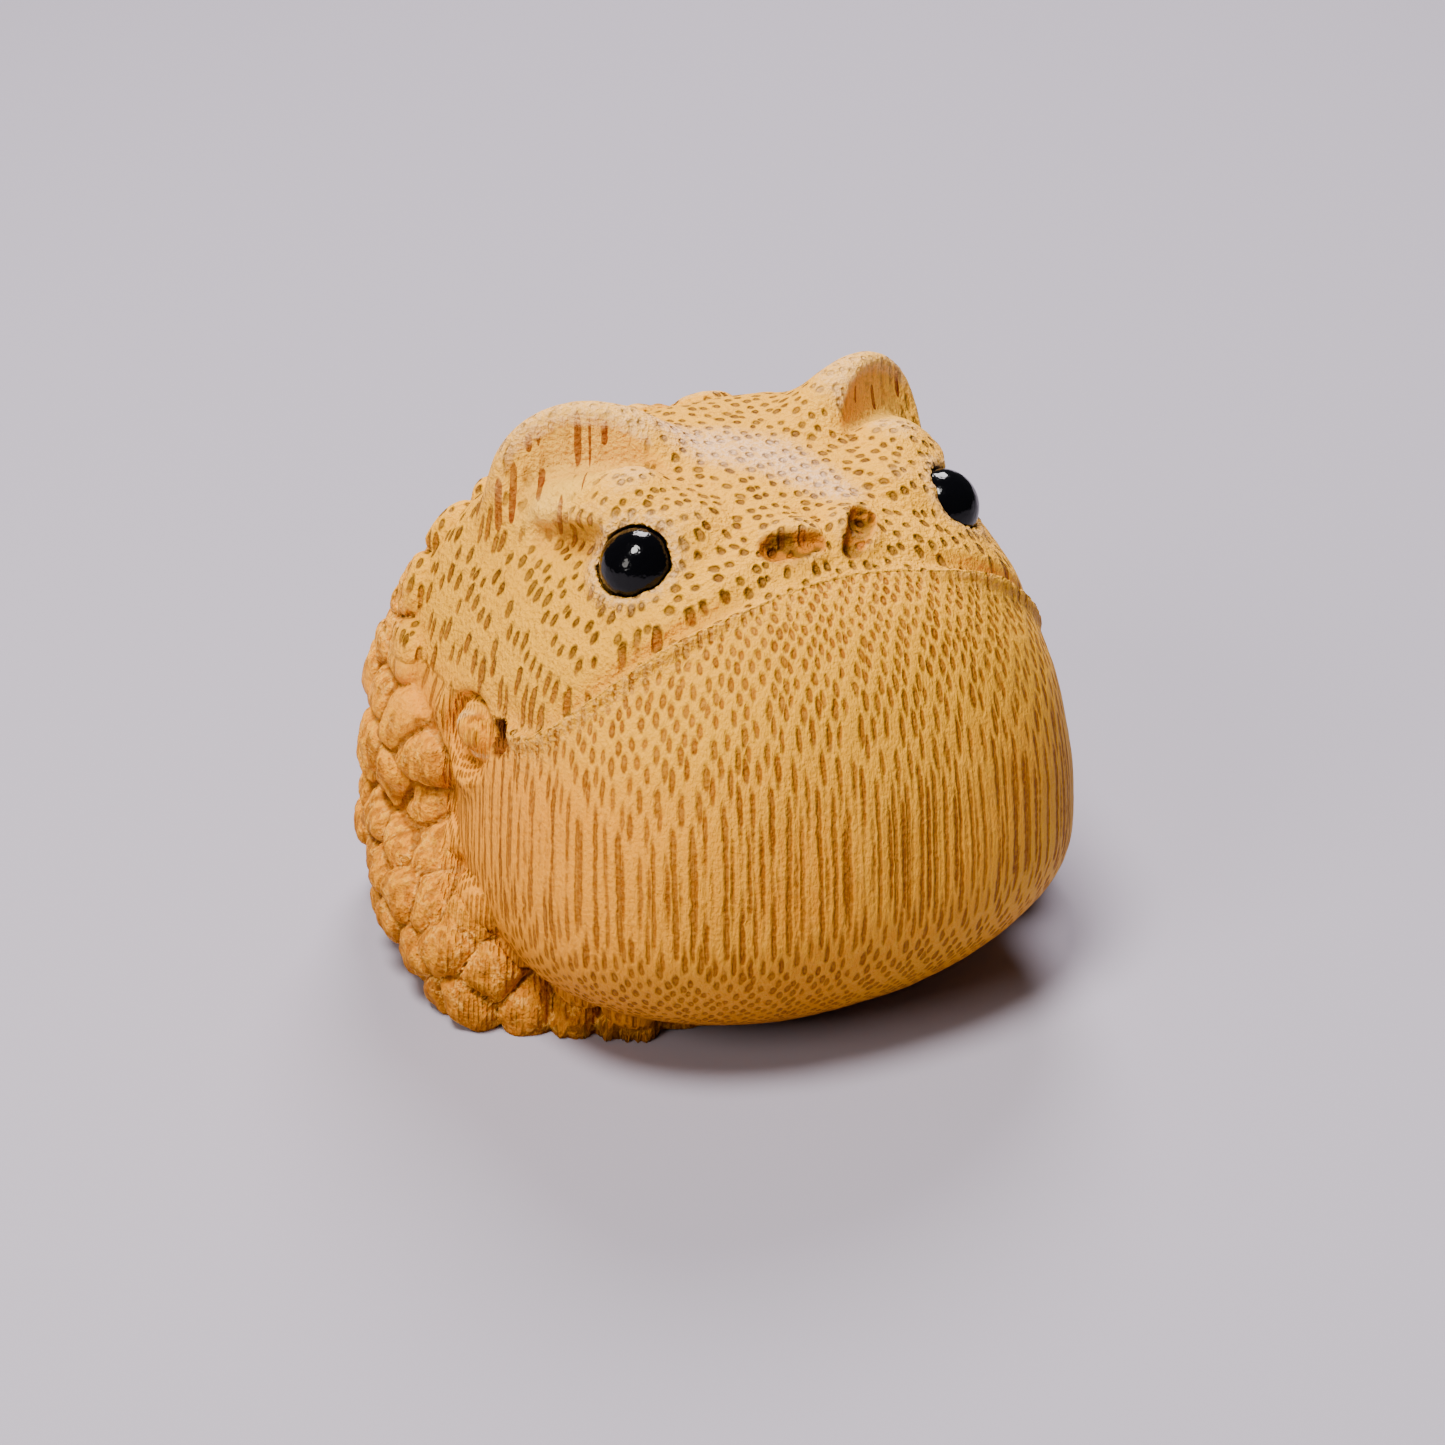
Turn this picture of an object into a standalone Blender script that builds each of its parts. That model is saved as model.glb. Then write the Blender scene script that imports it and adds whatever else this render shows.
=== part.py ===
"""Toad carving: a fat horned toad cut from one piece of bamboo, with two inlaid bead eyes.

Frame: metres, +Z up. The toad faces -Y and its right side is at -X. The origin is on
the ground, under the middle of the body. The fibres of the bamboo run along Z.
"""
import math

import bmesh
import bpy
import numpy as np
from mathutils import Vector

# Driving sizes, in metres.
HEIGHT = 0.0200          # underside to the tips of the horns
BEAD_DIAMETER = 0.0025   # one eye bead
BEAD_GAP = 0.0003        # clearance between a bead and its socket, all round
BEAD_SUNK = 0.0003       # how far a bead's centre lies under the skin
EYE_RIM = 0.00015        # rise of the skin around an eye
LIP_WIDTH = 0.0010       # ridge along the mouth
LIP_RISE = 0.00014
MOUTH_GROOVE = 0.0011    # width of the groove above the ridge
GROOVE_DEPTH = 0.00012
NOSTRIL_WIDTH = 0.00085  # width of the slot of a nostril
CORNER_HOLE = 0.0012     # height of the hole at each corner of the mouth
CORNER_LOBE = 0.0018     # round lobe behind that hole
CORNER_FOLD = 0.00025    # rise of the fold of skin round the lobe
BROW_CREASE = 0.0004     # depth of the cut under the outer end of a brow
ARM_CREASE = 0.00055     # depth of the crease between the shoulder and the arm
WART_WIDTH = 0.0016      # a middling wart
WART_RISE = 0.0005       # its height over the valleys
SOLE_CUT = 0.0           # height at which the underside is cut flat

# The free form keeps its proportions: its points and radii are in parts, and a
# twentieth of the height is one part.
PART = HEIGHT / 20.0

# How finely the form is meshed.
SPHERE_STEPS = 6
WART_FACES = 4800        # faces kept on the warty back and legs
ALL_FACES = 8700         # faces kept on the whole body, before the cuts
WART_SEED = 7


def parts(length):
    """A length in metres, given in parts."""
    return length / PART


def point(x, y, z):
    return np.array((x, y, z), dtype=float)


# Soft shapes. Each function takes an array of points and gives a signed distance to
# its surface, or something near it: negative inside, positive outside.

def ellipsoid(points, centre, radii, turn=0.0):
    """Ellipsoid turned about the upright axis by some degrees."""
    c, s = math.cos(math.radians(turn)), math.sin(math.radians(turn))
    offset = (points - centre) @ np.array(((c, -s, 0.0), (s, c, 0.0), (0.0, 0.0, 1.0)))
    radii = np.asarray(radii, dtype=float)
    near = np.sqrt(((offset / radii) ** 2).sum(axis=1))
    steep = np.sqrt(((offset / radii ** 2) ** 2).sum(axis=1))
    return near * (near - 1.0) / np.maximum(steep, 1e-9)


def oval(points, centre, width, front, rear, top, bottom, power):
    """Swollen form with its own half-lengths to the front, rear, top and bottom."""
    offset = points - centre
    deep = np.where(offset[:, 1] > 0.0, rear, front)
    tall = np.where(offset[:, 2] > 0.0, top, bottom)
    flat = (np.abs(offset[:, 0] / width) ** power + np.abs(offset[:, 1] / deep) ** power)
    reach = np.sqrt(flat ** (2.0 / power) + (offset[:, 2] / tall) ** 2)
    return (reach - 1.0) * min(width, front)


def cushion(points, centre, radii, power):
    """Box with swollen faces: a higher power gives squarer corners."""
    share = np.abs(points - centre) / np.asarray(radii, dtype=float)
    return ((share ** power).sum(axis=1) ** (1.0 / power) - 1.0) * min(radii)


def rod(points, start, end, start_radius, end_radius):
    """Round limb that tapers from one radius to the other."""
    along = end - start
    share = np.clip((points - start) @ along / (along @ along), 0.0, 1.0)
    middle = start + share[:, None] * along
    return np.linalg.norm(points - middle, axis=1) - (start_radius + (end_radius - start_radius) * share)


def limb(points, joints, softness):
    """Rods joined end to end; each joint is (x, y, z, radius)."""
    joints = [np.array(joint, dtype=float) for joint in joints]
    shape = None
    for first, second in zip(joints[:-1], joints[1:]):
        piece = rod(points, first[:3], second[:3], first[3], second[3])
        shape = piece if shape is None else union(shape, piece, softness)
    return shape


def beyond(points, through, direction):
    """Half of space on the near side of a plane; the direction points out of it."""
    direction = np.asarray(direction, dtype=float)
    return (points - through) @ (direction / np.linalg.norm(direction))


def union(one, other, softness):
    share = np.clip(0.5 + 0.5 * (other - one) / softness, 0.0, 1.0)
    return other + (one - other) * share - softness * share * (1.0 - share)


def common(one, other, softness):
    return -union(-one, -other, softness)


def carved(one, tool, softness):
    """The first shape with the second cut out of it, the edge eased."""
    return -union(-one, tool, softness)


def raised(shape, away, height, width):
    """The shape's skin lifted along a line, given each point's distance from it."""
    return shape - parts(height) * np.exp(-(2.0 * away / parts(width)) ** 2)


def mirrored(points):
    """Both sides of the toad are alike, so every side form is made once, at +X."""
    folded = points.copy()
    folded[:, 0] = np.sqrt(points[:, 0] ** 2 + 0.0004)
    return folded


# The body, in parts.

def head_and_sac(points):
    """Throat sac under the mouth line, and the face and flat brow over it."""
    folded = mirrored(points)
    sac = oval(points, point(0.0, -4.11, 6.5), 11.2, 8.0, 8.0, 13.08, 7.0, 2.14)
    brow = cushion(points, point(0.0, 8.0, 2.0), (10.95, 25.0, 17.05), 2.68)
    over_mouth = beyond(folded, point(5.57, -8.2, 14.73), (-2.99, -2.09, -5.68))
    shape = common(brow, union(sac, over_mouth, 0.8), 1.3)
    return common(shape, beyond(points, point(0.0, 2.6, 17.6), (0.0, 1.0, 0.5)), 1.5)


def back_and_legs(points):
    """Round back, hind legs folded at its sides and front legs that reach forward."""
    folded = mirrored(points)
    back = oval(points, point(0.0, 3.0, 5.4), 11.45, 7.4, 8.0, 11.7, 8.2, 2.0)
    front_leg = limb(folded, ((8.3, 3.6, 3.9, 3.1), (9.2, 0.9, 2.7, 2.75), (9.4, -1.5, 1.9, 2.3),
                              (9.4, -2.3, 1.0, 1.6), (8.9, -3.3, 0.7, 1.1)), 0.6)
    toes = limb(folded, ((8.9, -3.3, 0.6, 0.9), (7.5, -4.5, 0.5, 0.7)), 0.2)
    toes = union(toes, limb(folded, ((8.1, -3.3, 0.6, 0.85), (6.2, -4.6, 0.4, 0.55)), 0.2), 0.15)
    hind_leg = ellipsoid(folded, point(6.3, 4.8, 3.2), (4.75, 4.9, 4.2))
    sole = ellipsoid(points, point(0.0, -1.0, 0.2), (10.8, 6.3, 0.9))
    legs = union(union(union(front_leg, toes, 0.4), hind_leg, 0.8), sole, 0.3)
    shoulder = rod(folded, point(9.9, -1.6, 7.2), point(12.5, 5.8, 5.0), 0.0, 0.0)
    return raised(union(back, legs, 0.25), shoulder, -ARM_CREASE, 3.0 * ARM_CREASE)


def horned_head(points, body):
    """Horns with a hollow front face, brows over the eyes, and the snout."""
    folded = mirrored(points)
    horn = ellipsoid(folded, point(4.75, -0.1, 16.85), (3.35, 1.5, 3.1), 26.0)
    hollow = ellipsoid(folded, point(7.3, -1.55, 19.1), (4.9, 2.1, 3.05), 26.0)
    brow = limb(folded, ((5.7, -0.9, 16.2, 1.65), (4.6, -3.0, 16.8, 1.75), (3.7, -4.7, 16.45, 1.65),
                         (2.9, -5.0, 15.7, 1.35)), 0.4)
    snout = limb(folded, ((0.9, -6.9, 16.7, 1.0), (1.6, -5.8, 16.6, 0.9)), 0.3)
    body = carved(union(body, horn, 1.0), hollow, 0.15)
    body = union(union(body, brow, 0.45), snout, 0.5)
    under_brow = rod(folded, point(7.1, -1.5, 16.35), point(6.3, -3.8, 16.95), 0.0, 0.0)
    return raised(body, under_brow, -BROW_CREASE, 2.4 * BROW_CREASE)


def smooth_body(points):
    upper = np.clip((points[:, 2] - 12.0) / 4.0, 0.0, 1.0)
    body = union(head_and_sac(points), back_and_legs(points), 0.25 + 1.5 * upper)
    return horned_head(points, body)


# The mouth runs round the front of the sac from corner to corner: an ellipse seen
# from above, highest in the middle.
MOUTH_MIDDLE = -4.1
MOUTH_HALF_WIDTH = 9.5
MOUTH_REACH = 5.1
MOUTH_LEVEL = 14.05
MOUTH_ARCH = 3.0
MOUTH_END = math.radians(88.0)


def mouth_line(turn):
    """Points on the mouth line; the turn runs from 0 at the front to the corner."""
    return np.stack((MOUTH_HALF_WIDTH * np.sin(turn),
                     MOUTH_MIDDLE - MOUTH_REACH * np.cos(turn),
                     MOUTH_LEVEL + MOUTH_ARCH * np.cos(2.0 * turn)), axis=-1)


def beside_mouth(folded, higher):
    """Distance from a line that runs higher than the mouth line, measured up the skin."""
    turn = np.arctan2(folded[:, 0] / MOUTH_HALF_WIDTH, (MOUTH_MIDDLE - folded[:, 1]) / MOUTH_REACH)
    turn = np.clip(turn, 0.0, MOUTH_END)
    offset = folded - mouth_line(turn)
    outward = offset[:, 0] * np.sin(turn) - offset[:, 1] * np.cos(turn)
    up_the_skin = (offset[:, 2] - outward) / math.sqrt(2.0) - higher
    return np.hypot(up_the_skin, 0.3 * np.linalg.norm(offset, axis=1))


# Places near the skin of the face: the lobe and the hole of a mouth corner, then three
# points along the slot of each nostril. The two nostrils are not quite alike.
FACE_MARKS = np.array(((10.2, -1.75, 10.1), (9.75, -3.45, 10.65),
                       (-1.8, -7.3, 17.2), (-1.1, -7.6, 17.3), (-0.35, -7.7, 17.4),
                       (1.65, -7.0, 17.8), (1.15, -7.5, 17.5), (0.6, -8.0, 17.0)))
FACE_MARK_DEPTH = 0.1


def with_face(points, body, eye, gaze, marks):
    """Mouth, nostrils, mouth corners and the rings around the eyes."""
    lobe, hole, slots = marks[0], marks[1], marks[2:]
    folded = mirrored(points)
    body = raised(body, beside_mouth(folded, parts(MOUTH_GROOVE) * 0.75), -GROOVE_DEPTH, MOUTH_GROOVE)
    body = raised(body, beside_mouth(folded, 0.0), LIP_RISE, LIP_WIDTH)
    slot_radius = parts(NOSTRIL_WIDTH) / 2.0
    for three in (slots[:3], slots[3:]):
        joints = [(*at, share * slot_radius) for at, share in zip(three, (1.05, 0.95, 0.7))]
        body = carved(body, limb(points, joints, 0.05), 0.1)
    offset = folded - eye
    across = np.linalg.norm(offset - (offset @ gaze)[:, None] * gaze, axis=1)
    rim = np.hypot(across - parts(BEAD_DIAMETER / 2.0 + BEAD_GAP), 0.3 * (offset @ gaze))
    body = raised(body, rim, EYE_RIM, 3.0 * EYE_RIM)
    lobe_radius = parts(CORNER_LOBE) / 2.0
    from_lobe = folded - lobe
    around = np.linalg.norm(from_lobe, axis=1)
    behind = np.clip(0.6 + 0.5 * (from_lobe[:, 1] - from_lobe[:, 2]) / np.maximum(around, 0.1), 0.0, 1.0)
    fold = np.abs(around - 2.0 * lobe_radius) + 1.5 * (1.0 - behind)
    body = raised(body, fold, CORNER_FOLD, 4.0 * CORNER_FOLD)
    body = union(body, ellipsoid(folded, lobe, (0.6 * lobe_radius, lobe_radius, lobe_radius)), 0.12)
    half_hole = parts(CORNER_HOLE) / 2.0
    deep_hole = ellipsoid(folded, hole, (1.7 * half_hole, 0.85 * half_hole, half_hole))
    return carved(body, deep_hole, 0.1)


# From the soft shapes to a mesh.

def slope(shape, points):
    """Direction in which the shape's distance grows, by small differences."""
    step = 0.01
    here = shape(points)
    return here, np.stack([(shape(points + step * axis) - here) / step for axis in np.eye(3)], axis=1)


def settled(shape, points, rounds):
    """Move points straight onto the surface of a shape."""
    for _ in range(rounds):
        here, grows = slope(shape, points)
        steep = np.maximum((grows ** 2).sum(axis=1), 0.05)
        points = points - np.clip(here / steep, -1.0, 1.0)[:, None] * grows
    return points


def sunk(shape, points, depth):
    """Points laid on the skin of a shape and then pushed in."""
    points = settled(shape, points, 8)
    _, grows = slope(shape, points)
    return points - depth * grows / np.linalg.norm(grows, axis=1, keepdims=True)


def evened(points, edges):
    """Move each point halfway to the middle of its neighbours."""
    count = len(points)
    links = np.bincount(edges.ravel(), minlength=count)
    moved = np.zeros_like(points)
    for axis in range(3):
        moved[:, axis] = (np.bincount(edges[:, 0], points[edges[:, 1], axis], count)
                          + np.bincount(edges[:, 1], points[edges[:, 0], axis], count))
    return points + 0.5 * (moved / links[:, None] - points)


def skin(shape, mesh):
    """Shrink a unit sphere onto the shape from outside, then even out its points."""
    directions = np.array([vertex.co for vertex in mesh.vertices], dtype=float)
    directions /= np.linalg.norm(directions, axis=1, keepdims=True)
    edges = np.array([edge.vertices[:] for edge in mesh.edges])
    middle = point(0.0, -1.0, 9.0)
    reach = np.full(len(directions), 16.0)
    for _ in range(14):
        reach -= 0.9 * np.clip(shape(middle + reach[:, None] * directions), -1.0, 3.0)
    points = middle + reach[:, None] * directions
    for _ in range(4):
        points = settled(shape, evened(points, edges), 1)
    return settled(shape, points, 2)


def warty(points):
    """How far a point lies inside the warty region: back, legs and behind the cheeks."""
    behind_cheek = np.minimum(points[:, 1] - 2.3 - 0.32 * (points[:, 2] - 9.7), points[:, 2] - 9.0)
    region = np.maximum(head_and_sac(points) - back_and_legs(points), behind_cheek)
    return np.minimum(region, horned_head(points, np.full(len(points), 50.0)))


def wart_centres(points):
    """Seeds of the warts: random points of the warty region, kept well apart."""
    rng = np.random.default_rng(WART_SEED)
    candidates = points[(warty(points) > 0.3) & (points[:, 2] > 0.3)]
    candidates = candidates[rng.permutation(len(candidates))]
    spacing = 0.86 * parts(WART_WIDTH)
    kept = []
    for candidate in candidates:
        if all((candidate - other) @ (candidate - other) > spacing ** 2 for other in kept):
            kept.append(candidate)
    kept = np.array(kept)
    return kept, rng.uniform(0.8, 1.2, len(kept))


def wart_height(points, centres, sizes):
    """Height of the warts over the skin: round knobs that meet in narrow valleys."""
    nearest = np.full(len(points), 1e3)
    second = np.full(len(points), 1e3)
    size = np.ones(len(points))
    for centre, share in zip(centres, sizes):
        away = np.linalg.norm(points - centre, axis=1)
        closer = away < nearest
        second = np.where(closer, nearest, np.minimum(second, away))
        nearest = np.where(closer, away, nearest)
        size = np.where(closer, share, size)
    half = parts(WART_WIDTH) / 2.0
    from_valley = np.clip((second - nearest) / (1.7 * half), 0.0, 1.0)
    from_edge = np.clip(1.0 - nearest / (1.6 * half), 0.0, 1.0)
    inward = np.minimum(from_valley, 2.0 * from_edge).clip(0.0, 1.0)
    return parts(WART_RISE) * size * (1.0 - (1.0 - inward) ** 2) ** 0.6


def sphere_mesh(name, steps):
    mesh = bpy.data.meshes.new(name)
    shape = bmesh.new()
    bmesh.ops.create_icosphere(shape, subdivisions=steps + 1, radius=1.0)
    shape.to_mesh(mesh)
    shape.free()
    return mesh


# Objects.

def material(name, colour, roughness, metallic=0.0):
    made = bpy.data.materials.new(name)
    made.use_nodes = True
    shader = made.node_tree.nodes["Principled BSDF"]
    shader.inputs["Base Color"].default_value = (*colour, 1.0)
    shader.inputs["Roughness"].default_value = roughness
    shader.inputs["Metallic"].default_value = metallic
    return made


def collection(name):
    made = bpy.data.collections.new(name)
    bpy.context.scene.collection.children.link(made)
    return made


def ball_object(name, centre, radius, rings, home):
    """Round bead or cutter, from a sphere primitive."""
    mesh = bpy.data.meshes.new(name)
    shape = bmesh.new()
    bmesh.ops.create_uvsphere(shape, u_segments=2 * rings, v_segments=rings, radius=radius)
    shape.to_mesh(mesh)
    shape.free()
    mesh.shade_smooth()
    made = bpy.data.objects.new(name, mesh)
    made.location = centre
    home.objects.link(made)
    return made


def cut_away(target, cutter):
    cutter.hide_render = True
    cutter.display_type = "WIRE"
    step = target.modifiers.new("cut " + cutter.name, "BOOLEAN")
    step.operation = "DIFFERENCE"
    step.solver = "EXACT"
    step.object = cutter


def eye_place():
    """Where a bead's centre lies and which way it looks: on the skin, under the brow."""
    aim = point(5.46, -5.3, 16.52)
    gaze = point(0.52, -0.55, 0.65)
    gaze /= np.linalg.norm(gaze)
    on_skin = settled(head_and_sac, aim[None, :], 6)[0]
    return on_skin - parts(BEAD_SUNK) * gaze, gaze


def main():
    for thing in list(bpy.data.objects):
        bpy.data.objects.remove(thing, do_unlink=True)
    carving = collection("toad carving")
    cutters = collection("cutters")

    eye, gaze = eye_place()
    marks = sunk(smooth_body, FACE_MARKS, FACE_MARK_DEPTH)

    def whole_body(points):
        return with_face(points, smooth_body(points), eye, gaze, marks)

    coarse = skin(smooth_body, sphere_mesh("coarse", 5))
    centres, sizes = wart_centres(coarse)
    print("warts", len(centres))

    mesh = sphere_mesh("toad_body", SPHERE_STEPS)
    points = skin(whole_body, mesh)
    _, grows = slope(whole_body, points)
    outward = grows / np.linalg.norm(grows, axis=1, keepdims=True)
    points = points + wart_height(points, centres, sizes)[:, None] * outward
    mesh.vertices.foreach_set("co", (points * PART).ravel())
    mesh.update()
    mesh.shade_smooth()
    body = bpy.data.objects.new("toad_body", mesh)
    body.data.materials.append(material("bamboo", (0.78, 0.50, 0.16), 0.42))
    carving.objects.link(body)
    # The warts are thinned first, so that the face keeps its share of the faces.
    rough = warty(points) > 0.1
    group = body.vertex_groups.new(name="warty")
    group.add(np.flatnonzero(rough).tolist(), 1.0, "REPLACE")
    corners = np.array([face.vertices[:] for face in mesh.polygons])
    smooth_faces = int((~rough[corners].all(axis=1)).sum())
    thin = body.modifiers.new("thin the warts", "DECIMATE")
    thin.vertex_group = group.name
    thin.ratio = (smooth_faces + WART_FACES) / len(corners)
    thin = body.modifiers.new("thin all", "DECIMATE")
    thin.ratio = ALL_FACES / (smooth_faces + WART_FACES)

    ground = bpy.data.meshes.new("ground_cut")
    shape = bmesh.new()
    bmesh.ops.create_cube(shape, size=1.0)
    shape.to_mesh(ground)
    shape.free()
    depth = HEIGHT / 2.0
    block = bpy.data.objects.new("ground_cut", ground)
    block.scale = (3.0 * HEIGHT, 3.0 * HEIGHT, depth)
    block.location = (0.0, 0.0, SOLE_CUT - depth / 2.0)
    cutters.objects.link(block)
    cut_away(body, block)

    black = material("black_bead", (0.006, 0.006, 0.008), 0.06)
    for name, side in (("eye_right", -1.0), ("eye_left", 1.0)):
        centre = Vector((side * eye[0], eye[1], eye[2])) * PART
        bead = ball_object(name, centre, BEAD_DIAMETER / 2.0, 9, carving)
        bead.data.materials.append(black)
        socket = ball_object(name + "_socket", centre, BEAD_DIAMETER / 2.0 + BEAD_GAP, 9, cutters)
        cut_away(body, socket)


main()
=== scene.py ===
# %% [markdown]
# # A bamboo toad, hand-carved, with bead eyes
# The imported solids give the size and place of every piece. This lesson loads them,
# makes a finer skin for the carving over the same form, lets two polished beads into
# it, and gives the bamboo its bundles of fibres. Lengths are in millimetres until a
# mesh is written, because the carving is only 25 mm wide.

# %% Load the solids
import math

import bmesh
import bpy
import numpy as np
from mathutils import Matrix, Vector, noise


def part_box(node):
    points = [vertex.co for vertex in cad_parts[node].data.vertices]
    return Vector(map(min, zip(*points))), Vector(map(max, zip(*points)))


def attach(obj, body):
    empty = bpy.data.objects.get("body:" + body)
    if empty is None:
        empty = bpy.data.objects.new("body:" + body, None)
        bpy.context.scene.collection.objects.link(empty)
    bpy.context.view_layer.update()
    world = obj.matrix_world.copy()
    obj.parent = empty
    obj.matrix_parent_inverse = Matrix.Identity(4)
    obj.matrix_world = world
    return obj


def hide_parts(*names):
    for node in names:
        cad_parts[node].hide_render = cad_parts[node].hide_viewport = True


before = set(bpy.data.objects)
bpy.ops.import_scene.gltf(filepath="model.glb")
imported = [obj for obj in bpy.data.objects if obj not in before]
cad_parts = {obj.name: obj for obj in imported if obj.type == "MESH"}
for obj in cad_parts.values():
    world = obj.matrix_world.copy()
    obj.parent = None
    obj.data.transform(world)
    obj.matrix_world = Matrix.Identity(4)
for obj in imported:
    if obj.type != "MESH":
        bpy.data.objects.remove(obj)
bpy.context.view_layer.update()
MM = 0.001
print("solids", sorted(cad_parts))

# %% [markdown]
# ## Soft shapes
# A carver rounds every form into the next. Meshes joined by hand would need their
# seams smoothed, so the body is described by distances instead: each function says how
# far a point lies outside a shape, and two shapes blend where their distances meet.

# %% Round forms


def point(x, y, z):
    return np.array((x, y, z), dtype=float)


def ellipsoid(points, centre, radii, turn=0.0):
    """Ellipsoid turned about the upright axis by some degrees."""
    c, s = math.cos(math.radians(turn)), math.sin(math.radians(turn))
    offset = (points - centre) @ np.array(((c, -s, 0.0), (s, c, 0.0), (0.0, 0.0, 1.0)))
    radii = np.asarray(radii, dtype=float)
    near = np.sqrt(((offset / radii) ** 2).sum(axis=1))
    steep = np.sqrt(((offset / radii ** 2) ** 2).sum(axis=1))
    return near * (near - 1.0) / np.maximum(steep, 1e-9)


def oval(points, centre, width, front, rear, top, bottom, power):
    """Swollen form with its own half-lengths to the front, rear, top and bottom."""
    offset = points - centre
    deep = np.where(offset[:, 1] > 0.0, rear, front)
    tall = np.where(offset[:, 2] > 0.0, top, bottom)
    flat = np.abs(offset[:, 0] / width) ** power + np.abs(offset[:, 1] / deep) ** power
    reach = np.sqrt(flat ** (2.0 / power) + (offset[:, 2] / tall) ** 2)
    return (reach - 1.0) * min(width, front)


# %% Boxes, limbs and planes


def cushion(points, centre, radii, power):
    """Box with swollen faces: a higher power gives squarer corners."""
    share = np.abs(points - centre) / np.asarray(radii, dtype=float)
    return ((share ** power).sum(axis=1) ** (1.0 / power) - 1.0) * min(radii)


def rod(points, start, end, start_radius=0.0, end_radius=0.0):
    """Round limb that tapers from one radius to the other, or a bare line."""
    along = end - start
    share = np.clip((points - start) @ along / (along @ along), 0.0, 1.0)
    middle = start + share[:, None] * along
    return np.linalg.norm(points - middle, axis=1) - (start_radius + (end_radius - start_radius) * share)


def beyond(points, through, direction):
    """Half of space on the near side of a plane; the direction points out of it."""
    direction = np.asarray(direction, dtype=float)
    return (points - through) @ (direction / np.linalg.norm(direction))


# %% [markdown]
# ## Joining and cutting shapes
# Two distances are joined by the smaller one and cut by the larger one. A softness
# rounds the seam, as a knife and a little sanding would.

# %% Joining and cutting


def union(one, other, softness):
    share = np.clip(0.5 + 0.5 * (other - one) / softness, 0.0, 1.0)
    return other + (one - other) * share - softness * share * (1.0 - share)


def common(one, other, softness):
    return -union(-one, -other, softness)


def carved(one, tool, softness):
    return -union(-one, tool, softness)


def limb(points, joints, softness):
    """Rods joined end to end; each joint is (x, y, z, radius)."""
    joints = [np.array(joint, dtype=float) for joint in joints]
    shape = None
    for first, second in zip(joints[:-1], joints[1:]):
        piece = rod(points, first[:3], second[:3], first[3], second[3])
        shape = piece if shape is None else union(shape, piece, softness)
    return shape


def raised(shape, away, height, width):
    """The shape's skin lifted along a line, given each point's distance from it."""
    return shape - height * np.exp(-(2.0 * away / width) ** 2)


def mirrored(points):
    """Both sides of the toad are alike, so every side form is made once, at +X."""
    rounded_fold = 0.0004
    folded = points.copy()
    folded[:, 0] = np.sqrt(points[:, 0] ** 2 + rounded_fold)
    return folded


# %% [markdown]
# ## Throat sac and head
# The real toad is mostly its swollen throat, which fills the front like an egg. A flat
# brow, a slope over the mouth and a nape cut its top off, as a saw would before the
# knife. One oval with four half-lengths gives the egg more simply than a modelled mesh.

# %% Throat sac and head
SAC_MIDDLE = point(0.0, -4.11, 6.5)
SAC_HALF_WIDTH = 11.2
SAC_REACH = 8.0
SAC_TOP = 13.08
SAC_BOTTOM = 7.0
SAC_SQUARENESS = 2.14


def head_and_sac(points):
    sac = oval(points, SAC_MIDDLE, SAC_HALF_WIDTH, SAC_REACH, SAC_REACH, SAC_TOP, SAC_BOTTOM,
               SAC_SQUARENESS)
    brow = cushion(points, point(0.0, 8.0, 2.0), (10.95, 25.0, 17.05), power=2.68)
    over_mouth = beyond(mirrored(points), point(5.57, -8.2, 14.73), (-2.99, -2.09, -5.68))
    nape = beyond(points, point(0.0, 2.6, 17.6), (0.0, 1.0, 0.5))
    shape = common(brow, union(sac, over_mouth, softness=0.8), softness=1.3)
    return common(shape, nape, softness=1.5)


print("throat sac", 2.0 * SAC_HALF_WIDTH, "mm wide")

# %% [markdown]
# ## Back and legs
# The back swells behind the head, and the legs are folded at the sides with the feet
# pointing forward. Each leg is a chain of rods, and a thin sole joins the feet, since
# the carver left the wood between them. A long crease parts the shoulder from the arm.

# %% Back and legs
ARM_CREASE = 0.55
FRONT_LEG = ((8.3, 3.6, 3.9, 3.1), (9.2, 0.9, 2.7, 2.75), (9.4, -1.5, 1.9, 2.3),
             (9.4, -2.3, 1.0, 1.6), (8.9, -3.3, 0.7, 1.1))
OUTER_TOE = ((8.9, -3.3, 0.6, 0.9), (7.5, -4.5, 0.5, 0.7))
INNER_TOE = ((8.1, -3.3, 0.6, 0.85), (6.2, -4.6, 0.4, 0.55))


def legs(points):
    folded = mirrored(points)
    toes = union(limb(folded, OUTER_TOE, softness=0.2), limb(folded, INNER_TOE, softness=0.2), softness=0.15)
    front_leg = union(limb(folded, FRONT_LEG, softness=0.6), toes, softness=0.4)
    hind_leg = ellipsoid(folded, point(6.3, 4.8, 3.2), (4.75, 4.9, 4.2))
    sole = ellipsoid(points, point(0.0, -1.0, 0.2), (10.8, 6.3, 0.9))
    return union(union(front_leg, hind_leg, softness=0.8), sole, softness=0.3)


def back_and_legs(points):
    back = oval(points, point(0.0, 3.0, 5.4), 11.45, 7.4, 8.0, 11.7, 8.2, power=2.0)
    shoulder = rod(mirrored(points), point(9.9, -1.6, 7.2), point(12.5, 5.8, 5.0))
    return raised(union(back, legs(points), softness=0.25), shoulder, -ARM_CREASE, 3.0 * ARM_CREASE)


# %% [markdown]
# ## Horns, brows and snout
# The horns rise from the brows and are hollowed to the front, so each ends in a thin
# curved edge. A solid horn with an oval cut out of it gives that edge by itself. Under
# the outer end of each brow the knife left a short crease with a soft ridge over it.

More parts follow.
